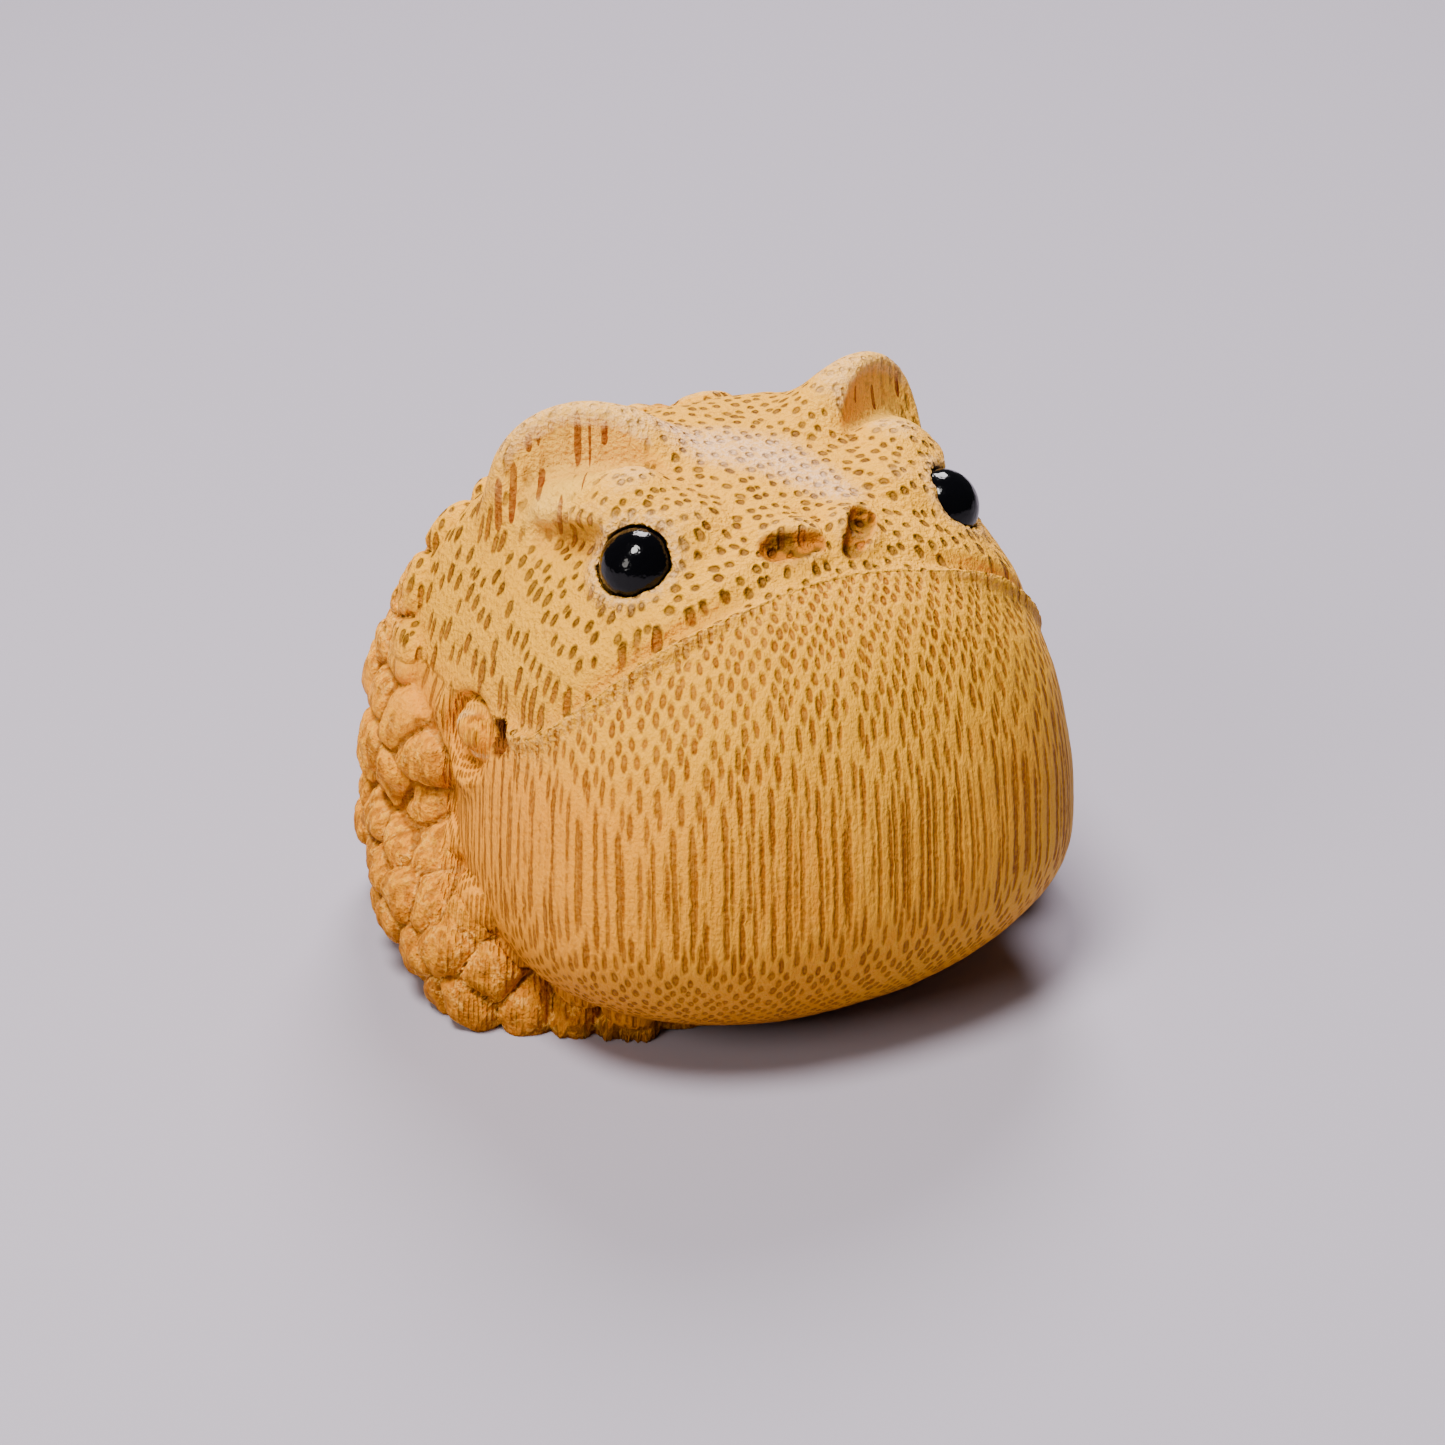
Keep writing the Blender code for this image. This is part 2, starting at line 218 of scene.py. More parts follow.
# %% Horns, brows and snout
BROW_CREASE = 0.4
CREASE_WIDTH = 0.85
HORN_TURN = 26.0
BROW = ((5.7, -0.9, 16.2, 1.65), (4.6, -3.0, 16.8, 1.75), (3.7, -4.7, 16.45, 1.65), (2.9, -5.0, 15.7, 1.35))
SNOUT = ((0.9, -6.9, 16.7, 1.0), (1.6, -5.8, 16.6, 0.9))


def horned_head(points, body):
    folded = mirrored(points)
    horn = ellipsoid(folded, point(4.75, -0.1, 16.85), (3.35, 1.5, 3.1), HORN_TURN)
    hollow = ellipsoid(folded, point(7.3, -1.55, 19.1), (4.9, 2.1, 3.05), HORN_TURN)
    body = carved(union(body, horn, softness=1.0), hollow, softness=0.15)
    body = union(body, limb(folded, BROW, softness=0.4), softness=0.45)
    body = union(body, limb(folded, SNOUT, softness=0.3), softness=0.5)
    ridge = rod(folded, point(6.95, -1.5, 17.0), point(6.15, -3.8, 17.55))
    under_brow = rod(folded, point(7.1, -1.5, 16.35), point(6.3, -3.8, 16.95))
    body = raised(body, ridge, height=0.16, width=0.9)
    return raised(body, under_brow, -BROW_CREASE, CREASE_WIDTH)


def smooth_body(points):
    """Everything but the lines of the face; the seam of head and back is softer above."""
    upper = np.clip((points[:, 2] - 12.0) / 4.0, 0.0, 1.0)
    body = union(head_and_sac(points), back_and_legs(points), 0.25 + 1.5 * upper)
    return horned_head(points, body)


print("the middle of the sac lies", round(-smooth_body(SAC_MIDDLE[None, :])[0], 1), "mm under the skin")

# %% [markdown]
# ## Mouth
# The mouth is one shallow cut with a fine ridge left under it, from corner to corner.
# It is drawn as a curve round the sac that dips at the corners, so the cut and the
# ridge can both be made by lifting or lowering the skin along it.

# %% Mouth line
MOUTH_MIDDLE = -4.1
MOUTH_HALF_WIDTH = 9.5
MOUTH_REACH = 5.1
MOUTH_LEVEL = 14.05
MOUTH_ARCH = 3.0
MOUTH_END = math.radians(88.0)


def mouth_line(turn):
    """Points on the mouth line; the turn runs from 0 at the front to the corner."""
    return np.stack((MOUTH_HALF_WIDTH * np.sin(turn),
                     MOUTH_MIDDLE - MOUTH_REACH * np.cos(turn),
                     MOUTH_LEVEL + MOUTH_ARCH * np.cos(2.0 * turn)), axis=-1)


def turn_beside(folded):
    """The turn of the mouth line that is level with each point."""
    turn = np.arctan2(folded[:, 0] / MOUTH_HALF_WIDTH, (MOUTH_MIDDLE - folded[:, 1]) / MOUTH_REACH)
    return np.clip(turn, 0.0, MOUTH_END)


def beside_mouth(folded, higher):
    """Distance from a line that runs higher than the mouth line, measured up the skin."""
    turn = turn_beside(folded)
    offset = folded - mouth_line(turn)
    outward = offset[:, 0] * np.sin(turn) - offset[:, 1] * np.cos(turn)
    up_the_skin = (offset[:, 2] - outward) / math.sqrt(2.0) - higher
    return np.hypot(up_the_skin, 0.3 * np.linalg.norm(offset, axis=1))


print("corner of the mouth at", mouth_line(MOUTH_END).round(2).tolist())

# %% [markdown]
# ## Nostrils, eye rims and mouth corners
# The nostrils are two gouged slots that differ a little. A little wood stands up around
# each bead. At each corner of the mouth is a small hole, and behind it a flat round
# lobe in a fold of skin. The lines are lifted and lowered like the mouth's, and only
# the slots and holes are cut.

# %% Nostrils and eye rims
BEAD = 1.25
NOSTRIL_RADII = (0.44, 0.40, 0.30)


def slot_shape(points, slots):
    """The two nostrils, each gouged along three points."""
    pair = [limb(points, [(*at, size) for at, size in zip(three, NOSTRIL_RADII)], softness=0.05)
            for three in (slots[:3], slots[3:])]
    return np.minimum(*pair)


def with_eye_rims(points, body, eye, gaze):
    offset = mirrored(points) - eye
    forward = offset @ gaze
    across = np.linalg.norm(offset - forward[:, None] * gaze, axis=1)
    return raised(body, np.hypot(across - BEAD - 0.22, 0.3 * forward), height=0.14, width=0.4)


# %% Mouth corners
LOBE_RADII = (0.58, 0.88, 0.70)
HOLE_RADII = (1.1, 0.5, 0.55)


def with_mouth_corners(points, body, lobe, hole):
    folded = mirrored(points)
    from_lobe = folded - lobe
    around = np.linalg.norm(from_lobe, axis=1)
    behind = np.clip(0.6 + 0.5 * (from_lobe[:, 1] - from_lobe[:, 2]) / np.maximum(around, 0.1), 0.0, 1.0)
    body = raised(body, np.abs(around - 1.75) + 1.5 * (1.0 - behind), height=0.28, width=0.9)
    body = raised(body, around - 1.12, height=-0.22, width=0.4)
    body = union(body, ellipsoid(folded, lobe, LOBE_RADII), softness=0.08)
    return carved(body, ellipsoid(folded, hole, HOLE_RADII), softness=0.05)


def with_face(points, body, eye, gaze, marks):
    """The body with all the lines of its face; marks are the lobe, the hole and the slots."""
    folded = mirrored(points)
    clear = 0.35 + 0.65 * np.clip((folded[:, 0] - 2.0) / 4.0, 0.0, 1.0)
    body = raised(body, beside_mouth(folded, 0.55), -0.13 * clear, width=0.8)
    body = raised(body, beside_mouth(folded, 0.0), 0.15 * clear, width=0.5)
    body = carved(body, slot_shape(points, marks[2:]), softness=0.08)
    body = with_eye_rims(points, body, eye, gaze)
    return with_mouth_corners(points, body, marks[0], marks[1])


# %% [markdown]
# ## A skin over the form
# A fine sphere is shrunk onto the form. Its points are evened out, so that no triangle
# is stretched over a horn, and then split once more for the knife work. A mesh built
# from a grid of small cells would show steps, so a sphere is used.

# %% Sliding points onto the form
NUDGE = 0.01
FLATTEST = 0.05


def slope(shape, points):
    """Direction in which the shape's distance grows, by small differences."""
    here = shape(points)
    return here, np.stack([(shape(points + NUDGE * axis) - here) / NUDGE for axis in np.eye(3)], axis=1)


def settled(shape, points, rounds):
    """Points slid onto the skin, a millimetre at most in each round."""
    for _ in range(rounds):
        here, grows = slope(shape, points)
        steep = np.maximum((grows ** 2).sum(axis=1), FLATTEST)
        points = points - np.clip(here / steep, -1.0, 1.0)[:, None] * grows
    return points


def sunk(shape, points, depth):
    """Points laid on the skin and then pushed in."""
    points = settled(shape, points, 8)
    _, grows = slope(shape, points)
    return points - depth * grows / np.linalg.norm(grows, axis=1, keepdims=True)


# %% Points and edges of a mesh


def edges_of(mesh):
    pairs = np.empty(2 * len(mesh.edges), dtype=np.int32)
    mesh.edges.foreach_get("vertices", pairs)
    return pairs.reshape(-1, 2)


def points_of(mesh):
    numbers = np.empty(3 * len(mesh.vertices))
    mesh.vertices.foreach_get("co", numbers)
    return numbers.reshape(-1, 3)


def neighbours_middle(points, edges):
    """The middle of each point's neighbours."""
    count = len(points)
    links = np.bincount(edges.ravel(), minlength=count)
    sums = [np.bincount(edges[:, 0], points[edges[:, 1], axis], count)
            + np.bincount(edges[:, 1], points[edges[:, 0], axis], count) for axis in range(3)]
    return np.stack(sums, axis=1) / links[:, None]


# %% Shrinking a sphere onto the form
SPHERE_MIDDLE = point(0.0, -1.0, 9.0)
SPHERE_RADIUS = 16.0
SHRINK_ROUNDS = 14
EVENING_ROUNDS = 4


def shrunk_sphere(shape, steps):
    """Sphere mesh laid on the shape; its points are given in millimetres."""
    mesh = bpy.data.meshes.new("skin")
    form = bmesh.new()
    bmesh.ops.create_icosphere(form, subdivisions=steps, radius=1.0)
    form.to_mesh(mesh)
    form.free()
    directions = points_of(mesh)
    directions /= np.linalg.norm(directions, axis=1, keepdims=True)
    edges = edges_of(mesh)
    reach = np.full(len(directions), SPHERE_RADIUS)
    for _ in range(SHRINK_ROUNDS):
        reach -= 0.9 * np.clip(shape(SPHERE_MIDDLE + reach[:, None] * directions), -1.0, 3.0)
    points = SPHERE_MIDDLE + reach[:, None] * directions
    for _ in range(EVENING_ROUNDS):
        evened = points + 0.5 * (neighbours_middle(points, edges) - points)
        points = settled(shape, evened, 1)
    points = settled(shape, points, 2)
    mesh.vertices.foreach_set("co", points.ravel())
    return mesh, points


def split_once(mesh):
    """Split every edge in the middle, which makes four triangles of each."""
    form = bmesh.new()
    form.from_mesh(mesh)
    bmesh.ops.subdivide_edges(form, edges=form.edges, cuts=1, use_grid_fill=True)
    form.to_mesh(mesh)
    form.free()


# %% [markdown]
# ## Where the beads sit
# A bead's centre lies just under the skin below the brow, as it does in the solid. The
# toad looks up and outward, so the bead and its rim are turned that way.

# %% Place of the eyes
BEAD_SUNK = 0.3
gaze = point(0.52, -0.55, 0.65)
gaze /= np.linalg.norm(gaze)
eye = settled(head_and_sac, point(5.46, -5.3, 16.52)[None, :], 6)[0] - BEAD_SUNK * gaze
solid_low, solid_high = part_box("eye_left")
solid_middle = (Vector(solid_low) + Vector(solid_high)) / (2.0 * MM)
print("eye at", eye.round(2).tolist(), "and in the solid at", [round(c, 2) for c in solid_middle])

# %% [markdown]
# ## Where the face is cut
# The lobe, the hole and the nostrils are given as points near the skin. They are slid
# onto it and then pushed in a little, so each cut keeps its depth when the form changes.

# %% Places of the lobe, the hole and the nostrils
LOBE_AND_HOLE = ((10.2, -1.75, 10.1), (9.75, -3.45, 10.65))
RIGHT_NOSTRIL = ((-1.8, -7.3, 17.2), (-1.1, -7.6, 17.3), (-0.35, -7.7, 17.4))
LEFT_NOSTRIL = ((1.65, -7.0, 17.8), (1.15, -7.5, 17.5), (0.6, -8.0, 17.0))
MARKS_DEPTH = 0.1
face_marks = sunk(smooth_body, np.array(LOBE_AND_HOLE + RIGHT_NOSTRIL + LEFT_NOSTRIL), MARKS_DEPTH)
lobe, hole, nostrils = face_marks[0], face_marks[1], face_marks[2:]
print("lobe", lobe.round(2).tolist(), "hole", hole.round(2).tolist())


def whole_body(points):
    return with_face(points, smooth_body(points), eye, gaze, face_marks)


# %% [markdown]
# ## Warts
# Each wart is a small dome cut free by crossing knife strokes, so it is irregular and
# its edges are sharp. Modelling two hundred by hand would take days. Here seeds are
# scattered on the skin, well apart, and each point rises by how much nearer it is to
# its own seed than to the next. The seeds are the solid's own.

# %% Where warts grow
WART_WIDTH = 1.6
WART_RISE = 0.5
WART_SEED = 7
NO_BODY = 50.0


def warty(points):
    """How far a point lies inside the warty region: back, legs and behind the cheeks."""
    behind_cheek = np.minimum(points[:, 1] - 2.3 - 0.32 * (points[:, 2] - 9.7), points[:, 2] - 9.0)
    region = np.maximum(head_and_sac(points) - back_and_legs(points), behind_cheek)
    return np.minimum(region, horned_head(points, np.full(len(points), NO_BODY)))


def wart_centres(points):
    """Seeds of the warts and their sizes: random points of the warty region, well apart."""
    rng = np.random.default_rng(WART_SEED)
    candidates = points[(warty(points) > 0.3) & (points[:, 2] > 0.3)]
    candidates = candidates[rng.permutation(len(candidates))]
    spacing = 0.86 * WART_WIDTH
    kept = []
    for candidate in candidates:
        if all((candidate - other) @ (candidate - other) > spacing ** 2 for other in kept):
            kept.append(candidate)
    kept = np.array(kept)
    return kept, rng.uniform(0.8, 1.2, len(kept))


_, coarse = shrunk_sphere(smooth_body, 6)
centres, wart_sizes = wart_centres(coarse)
print("warts", len(centres))

# %% Height of the warts


def wart_height(points, centres, sizes):
    """Height of the warts over the skin: round knobs that meet in narrow valleys."""
    nearest = np.full(len(points), 1e3)
    second = np.full(len(points), 1e3)
    size = np.ones(len(points))
    for centre, share in zip(centres, sizes):
        away = np.linalg.norm(points - centre, axis=1)
        closer = away < nearest
        second = np.where(closer, nearest, np.minimum(second, away))
        nearest = np.where(closer, away, nearest)
        size = np.where(closer, share, size)
    half = WART_WIDTH / 2.0
    from_valley = np.clip((second - nearest) / (1.7 * half), 0.0, 1.0)
    from_edge = np.clip(1.0 - nearest / (1.6 * half), 0.0, 1.0)
    inward = np.minimum(from_valley, 2.0 * from_edge).clip(0.0, 1.0)
    return WART_RISE * size * (1.0 - (1.0 - inward) ** 2) ** 0.6


def grain(points, scale, seed):
    """Smooth noise from -1 to 1 at every point."""
    shift = Vector((seed, 2.0 * seed, 3.0 * seed))
    return np.array([noise.noise(Vector(row) * scale + shift) for row in points])


# %% [markdown]
# ## The carved body
# The skin is split once more, the warts are lifted off it, and knife marks are pressed
# in: broad facets all over, rough strokes on the warts, and a chipped edge round each
# bead. Real cuts of this size are easier to move into the mesh than to fake by bump.

# %% Fine skin
BODY_STEPS = 7
mesh, _ = shrunk_sphere(whole_body, BODY_STEPS)
split_once(mesh)
points = settled(whole_body, points_of(mesh), 2)
_, grows = slope(whole_body, points)
outward = grows / np.linalg.norm(grows, axis=1, keepdims=True)
print("body points", len(points))

# %% Warts and knife marks
WART_BEND = 0.12
BROAD_FACETS = 0.05
FINE_MARKS = 0.012
WART_STROKES = 0.085
RIM_CHIPS = 0.09
bent = points + WART_BEND * np.stack([grain(points, 0.9, seed) for seed in (3, 5, 8)], axis=1)
warts = wart_height(bent, centres, wart_sizes)
rough = np.clip(warty(points) / 0.5, 0.0, 1.0)
from_eye = np.linalg.norm(mirrored(points) - eye, axis=1)
eye_rim = np.exp(-((from_eye - BEAD - 0.15) / 0.3) ** 2)
knife = BROAD_FACETS * grain(points, 0.55, 13)
knife += (FINE_MARKS + rough * WART_STROKES) * grain(points, 2.3, 21)
knife += RIM_CHIPS * eye_rim * grain(points, 3.4, 34)
points = points + (warts + knife)[:, None] * outward
mesh.vertices.foreach_set("co", (points * MM).ravel())
print("warts rise to", warts.max().round(2), "mm, knife marks reach", np.abs(knife).max().round(2), "mm")

# %% [markdown]
# ## Marks that the material reads
# The look of the bamboo changes with the carving: rows of bundles on the belly, golden
# warts, pale scraped edges, dark folds. Painting a picture of that would need seams and
# pixels, so each is worked out here for every point and kept on the mesh as a number
# from 0 to 1, which the material reads by name.

# %% Marks of the warts and the eye rims


def mark(name, values):
    """Write a number from 0 to 1 on each point of the body's mesh."""
    values = np.clip(values, 0.0, 1.0)
    layer = mesh.attributes.new(name, "FLOAT", "POINT")
    layer.data.foreach_set("value", values.astype(np.float32))
    print("mark", name, "covers", round(100.0 * float((values > 0.5).mean()), 1), "% of the points")


mark("warty", rough)
mark("wart_top", warts / WART_RISE)
mark("eye_rim", eye_rim)

# %% [markdown]
# ## Which side of the mouth a point is on
# The belly shows its bundles in rows and the head shows them scattered, so the material
# has to know on which side of the mouth a point lies. The change runs along the mouth
# line, and behind the corners it runs level.

# %% Mark of the belly
folded = mirrored(points)
turn = turn_beside(folded)
over = folded - mouth_line(turn)
behind_corner = np.clip((folded[:, 1] + 5.0) / 1.5, 0.0, 1.0)
outward_of_mouth = over[:, 0] * np.sin(turn) - over[:, 1] * np.cos(turn)
over = over[:, 2] - (1.0 - behind_corner) * outward_of_mouth
mark("belly", 0.5 - over / 1.2)

# %% [markdown]
# ## Rows of bundles on the belly
# In a bamboo's wall the bundles stand in rows along the bark, and on this toad the rows
# follow the outline of the belly. Each point gets its place along that outline and its
# depth behind it, found by halving a span again and again, because the outline's
# formula can't be turned round.

# %% Place in the rows
WIDTH_SHRINK = 0.6
REACH_SHRINK = 0.5
OUTLINE_STEPS = 200
OUTERMOST = -1.0
DEEPEST = 13.0
HALVINGS = 16


def belly_rows(points):
    """Place along the belly's outline and depth behind it, both in millimetres."""
    turns = np.linspace(0.0, math.pi, OUTLINE_STEPS)
    steps = np.hypot(SAC_HALF_WIDTH * np.cos(turns), SAC_REACH * np.sin(turns)) * (turns[1] - turns[0])
    lengths = np.cumsum(steps) - steps[0]
    low = np.full(len(points), OUTERMOST)
    high = np.full(len(points), DEEPEST)
    across = np.abs(points[:, 0])
    back = points[:, 1] - SAC_MIDDLE[1]
    for _ in range(HALVINGS):
        depth = 0.5 * (low + high)
        width = SAC_HALF_WIDTH - WIDTH_SHRINK * depth
        reach = SAC_REACH - REACH_SHRINK * depth
        share = ((across / width) ** SAC_SQUARENESS
                 + np.abs((back - REACH_SHRINK * depth) / reach) ** SAC_SQUARENESS)
        low = np.where(share < 1.0, depth, low)
        high = np.where(share < 1.0, high, depth)
    turn = np.arctan2(across / width, -(back - REACH_SHRINK * depth) / reach)
    along = np.sign(points[:, 0]) * np.interp(turn, turns, lengths)
    return np.stack((along, depth, np.zeros(len(points))), axis=1)


rows_at = belly_rows(points)
lean = 0.08 + 0.12 * np.clip((np.abs(points[:, 0]) - 7.0) / 3.0, 0.0, 1.0)
rows_at[:, 1] -= lean * (points[:, 2] - SAC_MIDDLE[2])
layer = mesh.attributes.new("belly_rows", "FLOAT_VECTOR", "POINT")
layer.data.foreach_set("vector", rows_at.astype(np.float32).ravel())
print("the rows run", np.ptp(rows_at[:, 0]).round(1), "mm from side to side")

# %% [markdown]
# ## Edges and folds
# Hands polish what stands out, and what lies deep is painted darker as shade. How far a
# point stands out is its distance from the middle of a wide ring of neighbours, which is
# found by taking the middle of the neighbours many times over.

# %% Mark of what stands out
RING_ROUNDS = 24
STANDING_RANGE = 0.35


def standing_out(mesh, points, outward):
    """How far each point stands out from the skin round it, in millimetres."""
    edges = edges_of(mesh)
    around = points
    for _ in range(RING_ROUNDS):
        around = neighbours_middle(around, edges)
    return np.sum((points - around) * outward, axis=1)


mark("stands_out", 0.5 + standing_out(mesh, points, outward) / STANDING_RANGE)

# %% [markdown]
# ## The mouth corners, the lip and the nostrils
# The lobe is a smooth golden disc with a pale rim, worn behind and below. The skin just
# under the mouth is scraped pale from the corner to the front, where it fades. The hole
# and the nostrils are painted dark inside as shade.

# %% Marks of the lobe and the lip
LOBE_FRONT = point(0.1, -0.4, 0.05)
LOBE_REACH = point(1.2, 0.95, 0.74)
from_lobe = folded - lobe - LOBE_FRONT
off_lobe = np.linalg.norm(from_lobe / LOBE_REACH, axis=1)
behind_or_below = np.clip(0.5 + 0.8 * from_lobe[:, 1] - 0.6 * from_lobe[:, 2], 0.0, 1.0)
mark("lobe", 1.6 - off_lobe)
mark("lobe_rim", (0.5 + 0.5 * behind_or_below) * np.exp(-((off_lobe - 0.95) / 0.22) ** 4))
clear_of_middle = 0.3 + 0.7 * np.clip((folded[:, 0] - 3.0) / 4.0, 0.0, 1.0)
lip = np.exp(-(beside_mouth(folded, -0.1) / 0.55) ** 2) * clear_of_middle * (off_lobe > 1.0)
mark("lip", lip)

# %% Marks of the cuts
CUT_EDGE = 0.12
# marks of the insides of the slots and holes, which are painted dark as shade
mark("pit", 1.0 - slot_shape(points, nostrils) / CUT_EDGE)
mark("hole", 1.0 - ellipsoid(folded, hole, HOLE_RADII) / CUT_EDGE)

# %% [markdown]
# ## Sheen on the forehead, the crease and the horns
# A pale band of painted sheen runs slantwise over the forehead. The crease beside each
# eye is painted dark as shade.
# The fronts of the horns are cut straight down the fibres, so they are marked to get
# streaks of their own.

# %% Marks of the painted sheen, the crease shade and the horns
PAINTED_SHEEN_BAND = ((-2.4, -1.0, 19.1, 0.1), (-1.0, -2.0, 18.5, 0.5),
             (0.3, -3.0, 18.3, 0.5), (1.5, -5.4, 17.8, 0.1))
HORN_FRONT = point(6.2, -1.0, 18.3)
# the crease under each brow is painted dark, as shade
crease_shade = rod(folded, point(6.65, -2.5, 16.5), point(6.35, -3.8, 16.8))
from_horn = np.linalg.norm((folded - HORN_FRONT) / point(3.2, 1.6, 2.2), axis=1)
# where the pale sheen of the lamp behind is painted on the forehead
mark("painted_forehead_sheen", 1.0 - limb(points, PAINTED_SHEEN_BAND, softness=0.3) / 0.9)
mark("crease_shade", np.exp(-(crease_shade / 0.36) ** 2))
mark("horn_face", np.exp(-from_horn ** 4))

# %% [markdown]
# ## Sockets and flat underside
# The sockets and the flat underside are cut last, with Booleans, as the carver would
# drill and plane them. Decimate goes first and spends the triangles where the carving
# is. The sockets are a hair wider than the beads.

# %% Body object
mesh.update()
mesh.shade_smooth()
body = bpy.data.objects.new("carved_body", mesh)
bpy.context.scene.collection.objects.link(body)
BODY_TRIANGLES = 180000
thin = body.modifiers.new("thin", "DECIMATE")
thin.ratio = BODY_TRIANGLES / len(mesh.polygons)
print("body triangles before thinning", len(mesh.polygons))

# %% Cutting tools
SOCKET_ROOM = 0.06
bead_centres = {"eye_right": Vector((-eye[0], eye[1], eye[2])) * MM,
                "eye_left": Vector((eye[0], eye[1], eye[2])) * MM}


def cutter(name, place, size=(1.0, 1.0, 1.0), radius=None):
    """A ball where a radius is given, else a block."""
    tool_mesh = bpy.data.meshes.new(name)
    form = bmesh.new()
    if radius:
        bmesh.ops.create_uvsphere(form, u_segments=64, v_segments=32, radius=radius)
    else:
        bmesh.ops.create_cube(form, size=1.0)
    form.to_mesh(tool_mesh)
    form.free()
    made = bpy.data.objects.new(name, tool_mesh)
    made.location = place
    made.scale = size
    bpy.context.scene.collection.objects.link(made)
    return made


cutters = [cutter("ground", (0.0, 0.0, -0.005), size=(0.06, 0.06, 0.01))]
cutters += [cutter(name + "_socket", centre, radius=(BEAD + SOCKET_ROOM) * MM)
            for name, centre in bead_centres.items()]
print("cutting tools", [tool.name for tool in cutters])

# %% Cut the body


def applied(thing):
    """Bake the modifiers of an object into its mesh."""
    graph = bpy.context.evaluated_depsgraph_get()
    baked = bpy.data.meshes.new_from_object(thing.evaluated_get(graph))
    thing.modifiers.clear()
    thing.data = baked
    return thing


for tool in cutters:
    cut = body.modifiers.new("cut " + tool.name, "BOOLEAN")
    cut.operation = "DIFFERENCE"
    cut.solver = "EXACT"
    cut.object = tool
applied(body)
for tool in cutters:
    bpy.data.objects.remove(tool, do_unlink=True)
print("body triangles", sum(len(face.vertices) - 2 for face in body.data.polygons))

# %% [markdown]
# ## Shader maths as arithmetic
# A material is a sum of masks. Wrapping a socket in a small class lets the masks be
# written as Python arithmetic, and every operator adds the Math node it stands for.

# %% Wires of a material


class Wire:
    """One socket of a material's nodes."""

    def __init__(self, tree, socket=None):
        self.tree = tree
        self.socket = socket

    def node(self, kind, settings=None, inputs=None, output=0):
        """Add any node: settings first, then the values or wires of its inputs."""
        made = self.tree.nodes.new(kind)
        for name, value in (settings or {}).items():
            setattr(made, name, value)
        for key, value in (inputs or {}).items():
            if isinstance(value, Wire):
                self.tree.links.new(value.socket, made.inputs[key])
            else:
                made.inputs[key].default_value = value
        return Wire(self.tree, made.outputs[output])

    def maths(self, operation, *values):
        return self.node("ShaderNodeMath", {"operation": operation}, dict(enumerate((self, *values))))

    def __add__(self, other):
        return self.maths("ADD", other)

    def __sub__(self, other):
        return self.maths("SUBTRACT", other)

    def __rsub__(self, other):
        return self.node("ShaderNodeMath", {"operation": "SUBTRACT"}, {0: other, 1: self})

    def __mul__(self, other):
        return self.maths("MULTIPLY", other)

    def __abs__(self):
        return self.maths("ABSOLUTE")

    __radd__ = __add__
    __rmul__ = __mul__


# %% Masks from wires


def ease(wire, low, high):
    """0 below low, 1 above high, smooth between; low may be above high."""
    return wire.node("ShaderNodeMapRange", {"interpolation_type": "SMOOTHSTEP"},
                     {0: wire, 1: low, 2: high, 3: 0.0, 4: 1.0})


def larger(one, other):
    return one.maths("MAXIMUM", other)


def parts_of(vector):
    """The three numbers of a vector."""
    split = vector.node("ShaderNodeSeparateXYZ", inputs={0: vector})
    return [Wire(vector.tree, socket) for socket in split.socket.node.outputs]


def stretched(vector, by):
    return vector.node("ShaderNodeVectorMath", {"operation": "MULTIPLY"}, {0: vector, 1: by})


def clouds(at, scale, detail, output="Fac"):
    """Soft noise, so many clouds to a millimetre."""
    return at.node("ShaderNodeTexNoise", inputs={"Vector": at, "Scale": scale, "Detail": detail},
                   output=output)


# %% Colours and materials


def colour(code):
    """Colour of a hex code, in the linear numbers that a shader takes."""
    shares = [int(code[i:i + 2], 16) / 255.0 for i in (0, 2, 4)]
    return (*[s / 12.92 if s <= 0.04045 else ((s + 0.055) / 1.055) ** 2.4 for s in shares], 1.0)


def tint(share, one, other):
    """Colour between two colours."""
    return share.node("ShaderNodeMix", {"data_type": "RGBA"}, {0: share, 6: one, 7: other}, output=2)


def material(name):
    made = bpy.data.materials.new(name)
    made.use_nodes = True
    return made, made.node_tree.nodes["Principled BSDF"], Wire(made.node_tree)


def feed(shader, **inputs):
    """Give a shader its values and wires; an underscore in a name stands for a space."""
    for name, value in inputs.items():
        socket = shader.inputs[name.replace("_", " ")]
        if isinstance(value, Wire):
            value.tree.links.new(value.socket, socket)
        else:
            socket.default_value = value


# %% [markdown]
# ## Bamboo
# Bamboo is pale wood full of upright bundles of brown fibres. A knife that crosses them
# leaves dots, and one that runs along them leaves streaks. Painting dots and streaks by
# hand would never meet at the edges, so the bundles are a pattern of the solid: columns
# along Z, looked up at the place of every point. The carving then cuts them by itself.

# %% Bamboo, and where a point of it is
bamboo, bamboo_shader, wood_wires = material("bamboo")


def marked(name, output="Fac"):
    """A mark that was written on the mesh."""
    return wood_wires.node("ShaderNodeAttribute", {"attribute_name": name}, output=output)


place = wood_wires.node("ShaderNodeTexCoord", output="Object")
place = wood_wires.node("ShaderNodeVectorMath", {"operation": "SCALE"}, {0: place, "Scale": 1.0 / MM})
x, y, z = parts_of(place)
level = abs(parts_of(wood_wires.node("ShaderNodeNewGeometry", output="Normal"))[2])
print("nodes that find the place", len(bamboo.node_tree.nodes))

# %% Bundles that wander and fray
WANDER = (1.2, 1.2, 0.0)
drift = stretched(place, (1.0, 1.0, 0.12))
wander = wood_wires.node("ShaderNodeVectorMath", {"operation": "MULTIPLY_ADD"},
                         {0: clouds(drift, 0.22, 1.0, "Color"), 1: WANDER, 2: place})
frayed = clouds(place, 4.5, 3.0)


